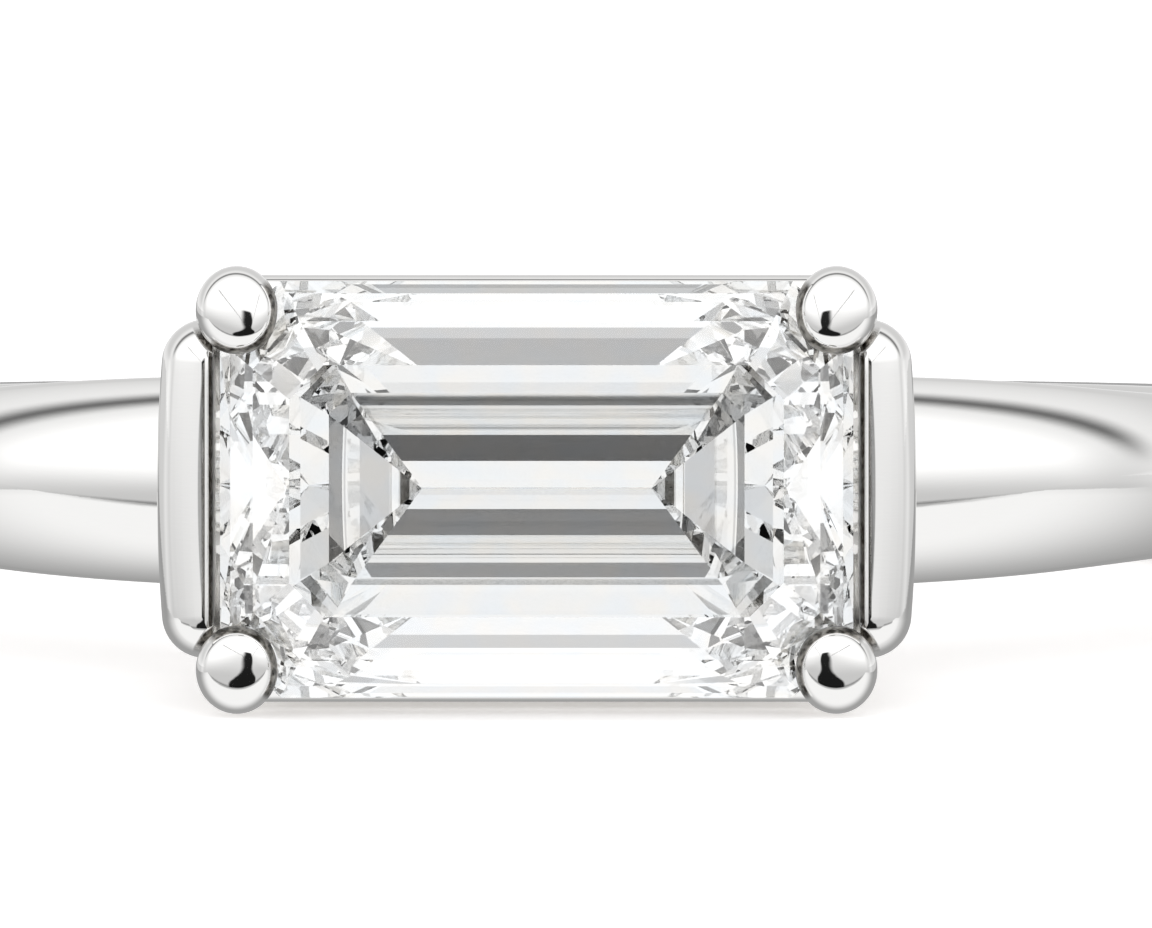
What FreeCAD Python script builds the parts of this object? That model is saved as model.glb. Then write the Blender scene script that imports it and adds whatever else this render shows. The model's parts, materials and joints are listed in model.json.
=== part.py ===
# Finger ring with an emerald-cut stone set lengthwise along its band
import FreeCAD, Part

import math
import os

import Sketcher

# Sizes are in millimetres and levels are heights above the finger axis.
# The ring's own axes: X along the stone, -Y from the finger to the stone, Z along the finger.
SIZES = (
    ("bore_radius", 8.25, "inside of the finger hole"),
    ("shank_radius", 9.75, "outside of the band at the crest of its dome"),
    ("shank_dome", 1.40, "radius of the dome across the band"),
    ("shank_spare", 0.025, "width that the taper takes off each side at the front"),
    ("shoulder_half", 1.275, "half the band's width under the stone"),
    ("base_half", 0.88, "half the band's width at its base"),
    ("taper_run", 6.45, "run of the taper, from the front of the band"),
    ("outer_rounding", 0.28, "rounding of the band's outer edges"),
    ("inner_rounding", 0.12, "rounding of the band's inner edges"),
    ("girdle_level", 12.22, "lower edge of the stone's girdle"),
    ("girdle_rise", 0.099, "height of the girdle"),
    ("girdle_half_length", 3.605, "half the stone's length"),
    ("girdle_half", 2.372, "half the stone's width"),
    ("girdle_corner", 0.69, "leg of the stone's cut corners"),
    ("crown_low_half", 2.235, "half width at the first crown break"),
    ("crown_low_rise", 0.172, "height of the first crown step"),
    ("crown_low_corner", 0.64, "corner leg at the first crown break"),
    ("crown_mid_half", 1.923, "half width at the second crown break"),
    ("crown_mid_rise", 0.278, "height of the second crown step"),
    ("crown_mid_corner", 0.54, "corner leg at the second crown break"),
    ("table_half", 1.430, "half the table's width"),
    ("table_rise", 0.357, "height of the third crown step"),
    ("table_corner", 0.39, "corner leg of the table"),
    ("crown_end_ratio", 0.85, "plan width of the crown's ends against its sides"),
    ("pavilion_high_half", 1.429, "half width at the first pavilion break"),
    ("pavilion_high_drop", 1.370, "depth of the first pavilion step"),
    ("pavilion_high_corner", 0.38, "corner leg at the first pavilion break"),
    ("pavilion_low_half", 1.095, "half width at the second pavilion break"),
    ("pavilion_low_drop", 0.414, "depth of the second pavilion step"),
    ("pavilion_low_corner", 0.25, "corner leg at the second pavilion break"),
    ("keel_half_length", 1.31, "half length of the keel"),
    ("keel_half", 0.010, "half width of the keel"),
    ("keel_drop", 0.660, "depth of the third pavilion step"),
    ("keel_corner", 0.005, "corner leg of the keel"),
    ("seat_gap", 0.02, "clearance between stone and metal"),
    ("bar_inner", 3.68, "inner face of the end bars"),
    ("bar_outer", 4.33, "outer face of the end bars"),
    ("bar_bulge", 19.0, "radius of the bars' slightly bulged outer face"),
    ("bar_half", 1.93, "half width of the end bars"),
    ("bar_level", 12.48, "crest of the end bars"),
    ("bar_waist_level", 11.68, "level under which the end bars narrow"),
    ("bar_foot_level", 8.6, "foot of the end bars, within the band"),
    ("bar_foot_half", 1.1, "half width of the end bars at the foot"),
    ("bar_scoop", 6.0, "radius of the scooped sides of the end bars"),
    ("bar_corner", 0.50, "rounding of the end bars' outer corners"),
    ("bar_shoulder", 0.48, "rounding of the end bars' outer top edge"),
    ("bar_lip", 0.06, "rounding of the end bars' inner top edge"),
    ("tip_along", 3.41, "middle of a claw tip, along the stone"),
    ("tip_across", 2.045, "middle of a claw tip, across the stone"),
    ("tip_level", 12.36, "middle of a claw tip"),
    ("tip_half_along", 0.42, "half size of a claw tip, along the stone"),
    ("tip_half_across", 0.475, "half size of a claw tip, across the stone"),
    ("tip_half_height", 0.66, "half size of a claw tip, along its own axis"),
    ("tip_lean", 35.0, "lean of a claw tip over the corner of the stone"),
    ("claw_foot_along", 3.45, "foot of a claw, along the stone"),
    ("claw_foot_across", 1.1, "foot of a claw, across the stone"),
    ("claw_foot_level", 9.0, "foot of a claw, within the band"),
    ("claw_top_radius", 0.43, "radius of a claw under its tip"),
    ("claw_foot_radius", 0.35, "radius of a claw at its foot"),
    ("rail_radius", 0.22, "radius of the gallery rails"),
    ("rail_outer", 2.437, "outer side of the gallery rails"),
    ("rail_level", 11.82, "middle of the gallery rails"),
    ("rail_half_length", 3.35, "half the length of the gallery rails"),
)

# Breaks of the stone above and below its girdle: name, half width, corner leg, steps between
CROWN_LEVELS = (
    ("table", "table_half", "table_corner", ("crown_low_rise", "crown_mid_rise", "table_rise")),
    ("crown_mid", "crown_mid_half", "crown_mid_corner", ("crown_low_rise", "crown_mid_rise")),
    ("crown_low", "crown_low_half", "crown_low_corner", ("crown_low_rise",)),
)
PAVILION_LEVELS = (
    ("pavilion_high", "pavilion_high_half", "pavilion_high_corner", ("pavilion_high_drop",)),
    ("pavilion_low", "pavilion_low_half", "pavilion_low_corner",
     ("pavilion_high_drop", "pavilion_low_drop")),
    ("keel", "keel_half", "keel_corner",
     ("pavilion_high_drop", "pavilion_low_drop", "keel_drop")),
)

CUT_MARGIN = 1.0
EDGE_TOLERANCE = 0.01
MEASURE_STEP = 0.005
MOST_LEAN = 20.0
REST_STEPS = 20


def vector(x, y, z=0.0):
    return FreeCAD.Vector(x, y, z)


def sized(text):
    """Formula on the sheet: words in braces stand for its named cells."""
    return text.replace("{", "Sizes.").replace("}", "")


def make_sheet(doc):
    """Spreadsheet with one named cell for each driving dimension."""
    sheet = doc.addObject("Spreadsheet::Sheet", "Sizes")
    for row, (alias, value, note) in enumerate(SIZES, start=1):
        sheet.set("A%d" % row, note)
        sheet.set("B%d" % row, str(value))
        sheet.setAlias("B%d" % row, alias)
    doc.recompute()
    return sheet


def bind(thing, **formulas):
    """Bind properties of a document object to formulas on the sheet."""
    for name, formula in formulas.items():
        thing.setExpression(name, sized(formula))


def place(thing, x, y, z):
    """Bind the place of a document object to three formulas."""
    for axis, formula in zip("xyz", (x, y, z)):
        thing.setExpression("Placement.Base." + axis, sized(formula))


def origin_plane(body, role):
    for feature in body.Origin.OriginFeatures:
        if feature.Role == role:
            return feature
    raise RuntimeError("no origin plane " + role)


def new_sketch(body, name, role, offset=None):
    """Sketch on an origin plane of the body, moved along its normal by a formula."""
    sketch = body.newObject("Sketcher::SketchObject", name)
    sketch.AttachmentSupport = (origin_plane(body, role), "")
    sketch.MapMode = "FlatFace"
    if offset:
        sketch.setExpression("AttachmentOffset.Base.z", sized(offset))
    return sketch


def measure(sketch, formula):
    """Value of a formula now, for the first guess of a sketch."""
    value = sketch.evalExpression(sized(formula))
    return float(getattr(value, "Value", value))


def constrain(sketch, formula, *terms):
    """Add a driving constraint whose value is a formula on the sheet."""
    index = sketch.addConstraint(Sketcher.Constraint(*terms, measure(sketch, formula)))
    sketch.setExpression("Constraints[%d]" % index, sized(formula))


def arc_through(start, end, radius, side):
    """Arc between two points, bulging to the left of the way from start to end for side 1."""
    chord = end - start
    half = chord.Length / 2
    left = vector(-chord.y, chord.x).normalize() * side
    sagitta = radius - math.sqrt(radius ** 2 - half ** 2)
    return Part.Arc(start, (start + end) / 2 + left * sagitta, end)


def draw_outline(sketch, corners, arcs=None):
    """Closed outline through corners given by formulas; arcs gives a side's radius and bulge."""
    arcs = arcs or {}
    points = [vector(measure(sketch, x), measure(sketch, y)) for x, y in corners]
    count = len(points)
    first_ends = []
    for side, start in enumerate(points):
        end = points[(side + 1) % count]
        if side in arcs:
            radius, bulge = arcs[side]
            sketch.addGeometry(arc_through(start, end, measure(sketch, radius), bulge))
            first_ends.append(2 if bulge > 0 else 1)
        else:
            sketch.addGeometry(Part.LineSegment(start, end))
            first_ends.append(1)
    for side in range(count):
        after = (side + 1) % count
        last_end = 3 - first_ends[side]
        sketch.addConstraint(
            Sketcher.Constraint("Coincident", side, last_end, after, first_ends[after]))
    for side, (x, y) in enumerate(corners):
        constrain(sketch, x, "DistanceX", -1, 1, side, first_ends[side])
        constrain(sketch, y, "DistanceY", -1, 1, side, first_ends[side])
    for side, (radius, bulge) in arcs.items():
        constrain(sketch, radius, "Radius", side)


def pick_edges(shape, accept):
    """Names of the edges whose ends and middle all pass the test."""
    names = []
    for index, edge in enumerate(shape.Edges, start=1):
        first, last = edge.ParameterRange
        samples = [edge.valueAt(first + (last - first) * part) for part in (0.0, 0.5, 1.0)]
        if all(accept(point) for point in samples):
            names.append("Edge%d" % index)
    if not names:
        raise RuntimeError("no edge to round")
    return names


def round_edges(body, name, radius, accept):
    """Round the edges of the body's last feature that pass the test."""
    base = body.Tip
    fillet = body.newObject("PartDesign::Fillet", name)
    fillet.Base = (base, pick_edges(base.Shape, accept))
    bind(fillet, Radius=radius)
    body.Document.recompute()
    return fillet


def cut_both_sides(body, sketch, name):
    """Cut a side profile through the whole body, then again mirrored over the ring's plane."""
    doc = body.Document
    pocket = body.newObject("PartDesign::Pocket", name)
    pocket.Profile = sketch
    pocket.SideType = "Symmetric"
    pocket.Type = "ThroughAll"
    doc.recompute()
    mirror = body.newObject("PartDesign::Mirrored", name + "_mirrored")
    mirror.Originals = [pocket]
    mirror.MirrorPlane = (origin_plane(body, "XY_Plane"), [""])
    body.Tip = mirror
    doc.recompute()


def from_axis(point):
    return math.hypot(point.x, point.y)


def make_shank(doc, sheet):
    """Band: a domed section turned round the finger, with its sides cut to the taper."""
    body = doc.addObject("PartDesign::Body", "shank")
    section = new_sketch(body, "shank_section", "YZ_Plane")
    half = "({shoulder_half} + {shank_spare})"
    side = "{shank_radius} - {shank_dome} + sqrt({shank_dome}^2 - " + half + "^2)"
    draw_outline(section, (
        ("{bore_radius}", "-" + half),
        (side, "-" + half),
        (side, half),
        ("{bore_radius}", half),
    ), {1: ("{shank_dome}", -1)})
    turned = body.newObject("PartDesign::Revolution", "shank_turned")
    turned.Profile = section
    turned.ReferenceAxis = (section, ["V_Axis"])
    turned.Angle = 360
    doc.recompute()

    taper = new_sketch(body, "shank_taper", "YZ_Plane")
    reach = "({shank_radius} + %g)" % CUT_MARGIN
    ogee = "(({taper_run}^2 + ({shoulder_half} - {base_half})^2) / (4 * ({shoulder_half} - {base_half})))"
    draw_outline(taper, (
        ("-" + reach, "{shoulder_half}"),
        ("-{shank_radius}", "{shoulder_half}"),
        ("-{shank_radius} + {taper_run} / 2", "({shoulder_half} + {base_half}) / 2"),
        ("-{shank_radius} + {taper_run}", "{base_half}"),
        (reach, "{base_half}"),
        (reach, "{shoulder_half} + %g" % CUT_MARGIN),
        ("-" + reach, "{shoulder_half} + %g" % CUT_MARGIN),
    ), {1: (ogee, 1), 2: (ogee, -1)})
    cut_both_sides(body, taper, "shank_sides")

    middle = (sheet.bore_radius + sheet.shank_radius) / 2
    low = sheet.base_half / 2
    round_edges(body, "shank_outer_edges", "{outer_rounding}",
                lambda point: from_axis(point) > middle and abs(point.z) > low)
    round_edges(body, "shank_inner_edges", "{inner_rounding}",
                lambda point: from_axis(point) < middle and abs(point.z) > low)
    return body


def make_bar(doc, sheet):
    """End bar: a block with rounded shoulders that hugs a short end of the stone."""
    body = doc.addObject("PartDesign::Body", "end_bar")
    front = new_sketch(body, "bar_front", "XZ_Plane", "{bar_foot_level}")
    draw_outline(front, (
        ("{bar_inner}", "-{bar_half}"),
        ("{bar_outer}", "-{bar_half}"),
        ("{bar_outer}", "{bar_half}"),
        ("{bar_inner}", "{bar_half}"),
    ), {1: ("{bar_bulge}", -1)})
    block = body.newObject("PartDesign::Pad", "bar_block")
    block.Profile = front
    bind(block, Length="{bar_level} - {bar_foot_level}")
    doc.recompute()

    near_outer = (sheet.bar_inner + sheet.bar_outer) / 2
    crest = -sheet.bar_level
    round_edges(body, "bar_corners", "{bar_corner}",
                lambda point: point.x > near_outer and abs(point.z) > sheet.bar_half - EDGE_TOLERANCE)
    round_edges(body, "bar_shoulder_edges", "{bar_shoulder}",
                lambda point: abs(point.y - crest) < EDGE_TOLERANCE and point.x > near_outer)
    round_edges(body, "bar_lip_edge", "{bar_lip}",
                lambda point: abs(point.y - crest) < EDGE_TOLERANCE
                and point.x < sheet.bar_inner + EDGE_TOLERANCE)

    sides = new_sketch(body, "bar_sides", "YZ_Plane")
    outside = "{bar_half} + %g" % CUT_MARGIN
    below = "-{bar_foot_level} + %g" % CUT_MARGIN
    draw_outline(sides, (
        ("-{bar_waist_level}", "{bar_half}"),
        ("-{bar_foot_level}", "{bar_foot_half}"),
        (below, "{bar_foot_half}"),
        (below, outside),
        ("-{bar_waist_level}", outside),
    ), {0: ("{bar_scoop}", -1)})
    cut_both_sides(body, sides, "bar_scoops")
    return body


def tip_turn(sheet):
    """Rotation that leans a claw tip over its corner of the stone."""
    lean = math.radians(sheet.tip_lean)
    inwards = vector(-1, 0, -1).normalize()
    straight = vector(0, -1, 0)
    return FreeCAD.Rotation(straight, straight * math.cos(lean) + inwards * math.sin(lean))


def make_claw(doc, sheet):
    """Claw: a leaning post from the band's shoulder to a rounded tip over the stone's corner."""
    foot = vector(sheet.claw_foot_along, -sheet.claw_foot_level, sheet.claw_foot_across)
    tip = vector(sheet.tip_along, -sheet.tip_level, sheet.tip_across)
    post = doc.addObject("Part::Cone", "claw_post")
    bind(post, Radius1="{claw_foot_radius}", Radius2="{claw_top_radius}")
    bind(post, Height="sqrt(({tip_along} - {claw_foot_along})^2"
                      " + ({tip_level} - {claw_foot_level})^2"
                      " + ({tip_across} - {claw_foot_across})^2)")
    post.Placement = FreeCAD.Placement(foot, FreeCAD.Rotation(vector(0, 0, 1), tip - foot))
    bead = doc.addObject("Part::Ellipsoid", "claw_tip")
    bind(bead, Radius1="{tip_half_across}", Radius2="{tip_half_along}",
         Radius3="{tip_half_height}")
    bead.Placement.Rotation = tip_turn(sheet)
    place(bead, "{tip_along}", "-{tip_level}", "{tip_across}")
    claw = doc.addObject("Part::Fuse", "claw")
    claw.Base = post
    claw.Tool = bead
    return claw


def make_rail(doc):
    """Gallery rail: a round wire under one long edge of the stone."""
    rail = doc.addObject("Part::Cylinder", "gallery_rail")
    bind(rail, Radius="{rail_radius}", Height="2 * {rail_half_length}")
    rail.Placement.Rotation = FreeCAD.Rotation(vector(0, 0, 1), vector(1, 0, 0))
    place(rail, "-{rail_half_length}", "-{rail_level}", "{rail_outer} - {rail_radius}")
    return rail


def mirrored(doc, source, name, normal):
    """Mirror image of a piece over a plane through the finger axis."""
    image = doc.addObject("Part::Mirroring", name)
    image.Source = source
    image.Normal = normal
    return image


def draw_octagon(sketch, half_length, half_width, corner):
    """Rectangle with cut corners, centred on the sketch."""
    along = "(%s)" % half_length
    across = "(%s)" % half_width
    near_along = "(%s - (%s))" % (half_length, corner)
    near_across = "(%s - (%s))" % (half_width, corner)
    draw_outline(sketch, (
        (near_along, across), (along, near_across),
        (along, "-" + near_across), (near_along, "-" + across),
        ("-" + near_along, "-" + across), ("-" + along, "-" + near_across),
        ("-" + along, near_across), ("-" + near_along, across),
    ))


def make_emerald(doc, name, gap):
    """Emerald cut: ruled steps between octagons, from the table down to the keel."""
    body = doc.addObject("PartDesign::Body", name)
    levels = []
    for label, half, corner, steps in CROWN_LEVELS:
        rise = " + ".join("{%s}" % step for step in ("girdle_rise",) + steps)
        length = "{girdle_half_length} - ({girdle_half} - {%s}) * {crown_end_ratio}" % half
        levels.append((label, "{girdle_level} + %s + %s" % (rise, gap), length, half, corner))
    girdle = ("{girdle_half_length}", "girdle_half", "girdle_corner")
    levels.append(("girdle_top", "{girdle_level} + {girdle_rise}") + girdle)
    levels.append(("girdle_foot", "{girdle_level}") + girdle)
    for label, half, corner, steps in PAVILION_LEVELS:
        drop = " + ".join("{%s}" % step for step in steps)
        length = ("{keel_half_length} + {%s} * ({girdle_half_length} - {keel_half_length})"
                  " / {girdle_half}" % half)
        levels.append((label, "{girdle_level} - (%s) - %s" % (drop, gap), length, half, corner))
    sketches = []
    for label, level, length, half, corner in levels:
        sketch = new_sketch(body, "%s_%s" % (name, label), "XZ_Plane", level)
        draw_octagon(sketch, "%s + %s" % (length, gap), "{%s} + %s" % (half, gap),
                     "{%s}" % corner)
        sketches.append(sketch)
    steps = body.newObject("PartDesign::AdditiveLoft", name + "_steps")
    steps.Profile = sketches[0]
    steps.Sections = sketches[1:]
    steps.Ruled = True
    doc.recompute()
    return body


def tip_depth(sheet, tilt):
    """How far a lower claw tip reaches below the finger axis, worked out on its mirror image."""
    down = vector(0, math.sin(tilt), math.cos(tilt))
    middle = vector(0, -sheet.tip_level, sheet.tip_across)
    own = tip_turn(sheet).inverted().multVec(down)
    reach = vector(own.x * sheet.tip_half_along, own.y * sheet.tip_half_height,
                   own.z * sheet.tip_half_across).Length
    return middle.dot(down) + reach


def base_depth(sheet, tilt):
    """How far the rounded edge of the band's base reaches below the finger axis."""
    rounding = sheet.outer_rounding
    reach = math.sqrt((sheet.shank_dome - rounding) ** 2 - (sheet.base_half - rounding) ** 2)
    edge_level = sheet.shank_radius - sheet.shank_dome + reach
    return edge_level * math.sin(tilt) + (sheet.base_half - rounding) * math.cos(tilt) + rounding


def rest_tilt(sheet):
    """Lean at which the lower claw tips and the band's base edge touch the same surface."""
    low, high = 0.0, math.radians(MOST_LEAN)
    for _ in range(REST_STEPS):
        middle = (low + high) / 2
        if tip_depth(sheet, middle) > base_depth(sheet, middle):
            low = middle
        else:
            high = middle
    return low


def lying_down(sheet, shapes):
    """Placement of the ring as it rests: leaned, centred and on the surface under it."""
    tilt = rest_tilt(sheet)
    lean = FreeCAD.Placement(vector(0, 0), FreeCAD.Rotation(vector(1, 0, 0), -math.degrees(tilt)))
    depths = []
    for shape in shapes:
        depths.extend(lean.multVec(point).y for point in shape.tessellate(MEASURE_STEP)[0])
    lean.Base = vector(0, -(min(depths) + max(depths)) / 2, tip_depth(sheet, tilt))
    print("tilt", round(math.degrees(tilt), 3), "place", lean.Base)
    return lean


def check_document(doc):
    """Stop if any object failed."""
    for thing in doc.Objects:
        if "Invalid" in thing.State or "Error" in thing.State:
            raise RuntimeError("%s failed: %s" % (thing.Name, thing.State))


def main():
    doc = FreeCAD.newDocument("ring")
    sheet = make_sheet(doc)

    shank = make_shank(doc, sheet)
    bar = make_bar(doc, sheet)
    claw = make_claw(doc, sheet)
    rail = make_rail(doc)
    along = vector(1, 0, 0)
    across = vector(0, 0, 1)
    claw_left = mirrored(doc, claw, "claw_left", along)
    metal = doc.addObject("Part::MultiFuse", "soldered_metal")
    metal.Shapes = [
        shank, bar, mirrored(doc, bar, "end_bar_left", along),
        claw, claw_left, mirrored(doc, claw, "claw_low", across),
        mirrored(doc, claw_left, "claw_left_low", across),
        rail, mirrored(doc, rail, "gallery_rail_low", across),
    ]
    seat = make_emerald(doc, "stone_seat", "{seat_gap}")
    stone = make_emerald(doc, "stone", "0")
    setting = doc.addObject("Part::Cut", "setting")
    setting.Base = metal
    setting.Tool = seat
    doc.recompute()
    check_document(doc)

    lean = lying_down(sheet, (setting.Shape, stone.Shape))
    os.makedirs("parts", exist_ok=True)
    for thing, label in ((setting, "shank_and_setting"), (stone, "emerald_cut_stone")):
        thing.Label = label
        thing.Placement = lean
    doc.recompute()
    check_document(doc)
    for thing in (setting, stone):
        shape = thing.Shape
        if shape.isNull() or not shape.isValid() or len(shape.Solids) != 1:
            raise RuntimeError("bad shape: " + thing.Label)
        shape.exportStep("parts/%s.step" % thing.Label)
        print(thing.Label, "volume", round(shape.Volume, 3), "faces", len(shape.Faces))


main()
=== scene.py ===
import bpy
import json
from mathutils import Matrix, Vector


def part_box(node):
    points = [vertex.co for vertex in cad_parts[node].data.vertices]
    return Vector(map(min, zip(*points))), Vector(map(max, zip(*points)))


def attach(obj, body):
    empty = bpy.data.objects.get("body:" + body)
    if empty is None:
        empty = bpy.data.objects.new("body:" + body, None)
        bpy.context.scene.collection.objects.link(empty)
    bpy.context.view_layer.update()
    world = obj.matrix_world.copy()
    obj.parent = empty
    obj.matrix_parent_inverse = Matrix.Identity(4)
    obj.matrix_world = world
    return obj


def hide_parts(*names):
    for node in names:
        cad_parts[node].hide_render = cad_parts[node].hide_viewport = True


bl_info = {
    "name": "East west ring",
    "version": (1, 0, 0),
    "blender": (4, 5, 0),
    "location": "3D View > Sidebar > Ring",
    "description": "Builds a polished ring with a step-cut stone set lengthwise, and its studio",
    "category": "Add Mesh",
}

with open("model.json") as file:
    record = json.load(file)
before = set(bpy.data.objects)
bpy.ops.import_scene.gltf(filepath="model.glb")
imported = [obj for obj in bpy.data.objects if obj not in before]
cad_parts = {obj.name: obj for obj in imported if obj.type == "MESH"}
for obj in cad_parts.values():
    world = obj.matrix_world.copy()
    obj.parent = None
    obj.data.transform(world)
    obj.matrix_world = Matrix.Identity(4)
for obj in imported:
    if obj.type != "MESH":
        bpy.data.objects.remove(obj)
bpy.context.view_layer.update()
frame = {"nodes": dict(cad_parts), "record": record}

import json
import math

import bmesh
import bpy
from bpy.props import FloatProperty, FloatVectorProperty, IntProperty, PointerProperty
from mathutils import Matrix, Vector

BODY = "root"
METAL_NODE = "shank_and_setting"
STONE_NODE = "emerald_cut_stone"
HOLE = frame["record"]["mounts"][0]
MM = 0.001
MERGE_DISTANCE = 1e-7
SMOOTH_ANGLE = math.radians(35)
SENSOR_WIDTH = 36.0
CLIP_REACH = 20
CLAW_POINTS = 96

# Noise as (features in 10 mm, detail, stretch), and what of its range is used.
MARKS_NOISE = (60.0, 3.0, (1.0, 1.0, 6.0))
MARKS_RANGE = (0.3, 0.7)
MARKS_TONE = 0.985
MARKS_HEIGHT = 0.004
TOOLING_NOISE = (90.0, 4.0)
# Painted fire in the stone's colour.
PAINTED_FIRE_NOISE = (30.0, 0.0)
SHARP_RANGE = (0.35, 0.65)
FROST_NOISE = (300.0, 2.0)
CLOUD_NOISE = (12.0, 2.0)
CLOUD_DARK = (0.88, 0.90, 0.93)
CLOUD_LIGHT = (0.90, 0.92, 0.95)

# Burnished metal, painted dark as shade where the tips meet the stone. A ring round the middle of
# a tip, in shares of its half size, as (middle, half, softness), and the side towards the stone as
# (all, none).
FLANK_RING = (0.98, 0.14, 0.025)
FLANK_SIDE = (-0.25, 0.05)
JOINT_SHADE_RING = (1.06, 0.09, 0.03)
JOINT_SHADE_SIDE = (-0.45, -0.25)
# In millimetres: levels above the finger axis as (none, all), the seat's strip of painted shade
# along the stone as (middle, half, softness), its ends across the stone as (all, none), and the
# levels of the girdle.
TIP_LEVELS = (12.2, 12.4)
SEAT_STRIP = (3.668, 0.066, 0.006)
SEAT_ENDS = (1.50, 1.60)
SEAT_LEVELS = (10.3, 12.0)
SEAT_SHADE = 0.85
GIRDLE_LEVELS = (12.27, 0.045, 0.005)

# Light tent: angles in degrees and backward parts as (from, to), windows as (middle, half,
# softness), lights as the values at both ends of a change.
ARCH_SIDE = 0.3
PANEL_RISE = (-12.0, 22.0)
PANEL_LIGHT = (0.64, 1.3)
TOP_ARCH = (72.0, 100.0)
TOP_SHADE = 0.3
SEAM_WINDOW = (45.0, 1.0, 0.7)
SEAM_BACK = (-0.5, -0.3)
SEAM_SHADE = 0.6
BEHIND_ARCH = (112.0, 135.0)
BEHIND_LIGHT = (0.93, 0.70)
FAR_PITCH = (155.0, 180.0)
FAR_LIGHT = 0.2
TURN_AZIMUTH = (72.0, 115.0)
TURN_ARCH = (103.0, 107.0)
TURN_RISE = (6.0, 22.0)
GAP_WINDOW = (103.5, 4.5, 5.0)
GAP_RISE = (4.0, 28.0)
GAP_SHADE = 0.82
SHEET_BACK = (-0.25, 0.6)
SHEET_LIGHT = (1.02, 0.38)
SHEET_AHEAD = 30.0
SHEET_ASIDE = 8.0
SHEET_EDGE = 0.4
LINE_WINDOW = (0.0, 3.0, 2.2)
LINE_AZIMUTH = (56.0, 74.0)
LINE_SHADE = 0.55
LINE_LEFT = 0.1
OPENING_FALL = (-32.0, 4.0)
OPENING_REACH = (3.6, 23.0)
OPENING_EDGE = (-1.5, 2.5)
OPENING_WINDOW = (-9.0, 20.5, 1.0)
OPENING_SHADE = 0.98

# What flashes through the stone: sideways part of a direction where the side walls begin, then the
# dark edges of the tent as (middle, half, softness, strength), in degrees of pitch and azimuth.
SIDEWAYS = (0.5, 0.75)
THROUGH_LIGHT = (1.12, 1.2)
PITCH_EDGES = ((98.5, 8.5, 1.5, 0.92), (-98.0, 14.0, 2.0, 0.90), (-153.0, 8.0, 2.0, 0.80),
               (79.0, 2.5, 1.5, 0.35), (165.0, 5.0, 2.0, 0.3), (38.0, 5.0, 2.0, 0.3),
               (-14.2, 0.8, 0.2, 0.7), (4.2, 0.5, 0.2, 0.5), (7.9, 0.6, 0.3, 0.45))
AZIMUTH_EDGES = ((115.0, 6.0, 2.0, 0.9), (95.0, 3.0, 2.0, 0.45), (60.0, 4.0, 2.0, 0.3))


def length(name, description, millimetres):
    """Length property whose default is given in millimetres."""
    return FloatProperty(name=name, description=description, default=millimetres * MM,
                         unit="LENGTH", precision=6)


def angle(name, description, degrees):
    """Angle property whose default is given in degrees."""
    return FloatProperty(name=name, description=description, default=math.radians(degrees),
                         subtype="ANGLE")


def share(name, description, value, most=1.0):
    """Plain number from nothing up to a limit."""
    return FloatProperty(name=name, description=description, default=value, min=0.0, max=most)


def colour(name, description, value):
    """Colour property."""
    return FloatVectorProperty(name=name, description=description, default=value, size=3,
                               subtype="COLOR", min=0.0, max=1.0)


class RingBandSizes(bpy.types.PropertyGroup):
    """Sizes of the band"""
    bore_radius: length("Bore radius", "Inside of the finger hole", HOLE["dims"]["r_mm"])
    crest_radius: length("Crest radius", "Outside of the band at the crest of its dome", 9.75)
    dome_radius: length("Dome radius", "Radius of the dome across the band", 1.40)
    shoulder_half: length("Shoulder half width", "Half the width under the stone", 1.275)
    base_half: length("Base half width", "Half the width at the base", 0.88)
    taper_run: length("Taper run", "Run of the taper from the front of the band", 6.45)
    outer_rounding: length("Outer rounding", "Rounding of the outer edges", 0.28)
    inner_rounding: length("Inner rounding", "Rounding of the inner edges", 0.12)
    steps: IntProperty(name="Steps", description="Stations round the finger", default=288, min=24)


class RingBarSizes(bpy.types.PropertyGroup):
    """Sizes of the two end bars"""
    inner: length("Inner face", "Distance of the inner face from the middle", 3.68)
    outer: length("Outer face", "Distance of the outer face from the middle", 4.33)
    bulge: length("Bulge radius", "Radius of the slightly bulged outer face", 19.0)
    half: length("Half width", "Half width of a bar", 1.93)
    crest: length("Crest level", "Height of the crest above the finger axis", 12.48)
    waist: length("Waist level", "Level under which the bars narrow", 11.68)
    foot: length("Foot level", "Foot of the bars, within the band", 8.6)
    foot_half: length("Foot half width", "Half width at the foot", 1.1)
    scoop: length("Scoop radius", "Radius of the scooped sides", 6.0)
    corner: length("Corner rounding", "Rounding of the outer corners", 0.50)
    shoulder: length("Shoulder rounding", "Rounding of the outer top edge", 0.48)
    lip: length("Lip rounding", "Rounding of the inner top edge", 0.13)


class RingClawSizes(bpy.types.PropertyGroup):
    """Sizes of the four claws"""
    tip_along: length("Tip along", "Middle of a tip, along the stone", 3.41)
    tip_across: length("Tip across", "Middle of a tip, across the stone", 2.045)
    half_along: length("Tip half along", "Half size of a tip along the stone", 0.467)
    half_across: length("Tip half across", "Half size of a tip across the stone", 0.503)
    crest: length("Crest level", "Height of a tip's crest above the finger axis", 12.956)
    dome: length("Dome height", "Height of the dome of a tip", 0.47)
    fullness: share("Dome fullness", "Flatness of the dome: 2 is round", 2.6, 8.0)
    offset: length("Crest offset", "How far the crest is nearer the stone, each way", 0.15)
    square: share("Squareness", "How square a tip is towards the stone", 0.06)
    swell: length("Swell", "Height over which the post widens into the tip", 0.45)
    foot_along: length("Foot along", "Foot of a claw, along the stone", 3.45)
    foot_across: length("Foot across", "Foot of a claw, across the stone", 1.1)
    foot_level: length("Foot level", "Foot of a claw, within the band", 9.0)
    top_radius: length("Top radius", "Radius of a claw under its tip", 0.43)
    foot_radius: length("Foot radius", "Radius of a claw at its foot", 0.35)


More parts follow.
